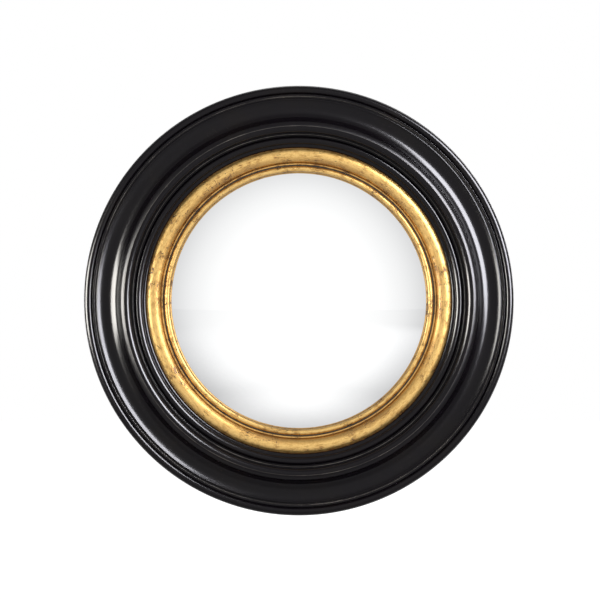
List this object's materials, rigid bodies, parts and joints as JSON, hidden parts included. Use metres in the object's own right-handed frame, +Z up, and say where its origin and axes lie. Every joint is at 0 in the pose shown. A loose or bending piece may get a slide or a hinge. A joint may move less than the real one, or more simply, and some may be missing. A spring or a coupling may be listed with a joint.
{
  "type": "wall mirror",
  "caption": "Round convex wall mirror in a wide black moulded frame with a gilt inner ring, its glass held from behind by a backing board and turn buttons, hung by a D-ring.",
  "frame": {"origin": "centre of the frame's back, on the wall plane", "axes": "+Y points from the mirror into the wall and the mirror faces -Y; +Z is up, with the hanger at the top"},
  "size_m": [0.38, 0.044, 0.38],
  "materials": {
    "black_lacquer": "black lacquer, high gloss",
    "gilding": "worn gold leaf over red-brown clay",
    "silvered_glass": "polished, silvered behind",
    "grey_felt": "matt felt",
    "bare_wood": "bare, turned",
    "hardboard": "pressed, smooth side out",
    "zinc_steel": "zinc plated",
    "screw_steel": "yellow zinc plated"
  },
  "bodies": {
    "frame": {"frame_ring": "black_lacquer", "gilt_ring": "gilding", "mirror_glass": "silvered_glass", "packing_ring": "grey_felt", "spacer_ring": "bare_wood", "backing_board": "hardboard", "turn_button_screws": "screw_steel", "hanger_plate": "zinc_steel", "hanger_screws": "screw_steel"},
    "turn_button_1": {"turn_button_1": "zinc_steel"},
    "turn_button_2": {"turn_button_2": "zinc_steel"},
    "turn_button_3": {"turn_button_3": "zinc_steel"},
    "turn_button_4": {"turn_button_4": "zinc_steel"},
    "turn_button_5": {"turn_button_5": "zinc_steel"},
    "turn_button_6": {"turn_button_6": "zinc_steel"},
    "hanger_ring": {"hanger_ring": "zinc_steel"}
  },
  "joints": [
    {"name": "turn_button_1_swivel", "type": "hinge", "parent": "frame", "child": "turn_button_1", "pos_m": [0.15686, -0.0081, 0], "axis": [0, 1, 0], "range_deg": [-100, 100]},
    {"name": "turn_button_2_swivel", "type": "hinge", "parent": "frame", "child": "turn_button_2", "pos_m": [0.07843, -0.0081, 0.13584], "axis": [0, 1, 0], "range_deg": [-100, 100]},
    {"name": "turn_button_3_swivel", "type": "hinge", "parent": "frame", "child": "turn_button_3", "pos_m": [-0.07843, -0.0081, 0.13584], "axis": [0, 1, 0], "range_deg": [-100, 100]},
    {"name": "turn_button_4_swivel", "type": "hinge", "parent": "frame", "child": "turn_button_4", "pos_m": [-0.15686, -0.0081, 0], "axis": [0, 1, 0], "range_deg": [-100, 100]},
    {"name": "turn_button_5_swivel", "type": "hinge", "parent": "frame", "child": "turn_button_5", "pos_m": [-0.07843, -0.0081, -0.13584], "axis": [0, 1, 0], "range_deg": [-100, 100]},
    {"name": "turn_button_6_swivel", "type": "hinge", "parent": "frame", "child": "turn_button_6", "pos_m": [0.07843, -0.0081, -0.13584], "axis": [0, 1, 0], "range_deg": [-100, 100]},
    {"name": "hanger_swing", "type": "hinge", "parent": "frame", "child": "hanger_ring", "pos_m": [0, -0.0065, 0.15636], "axis": [1, 0, 0], "range_deg": [0, 180]}
  ]
}
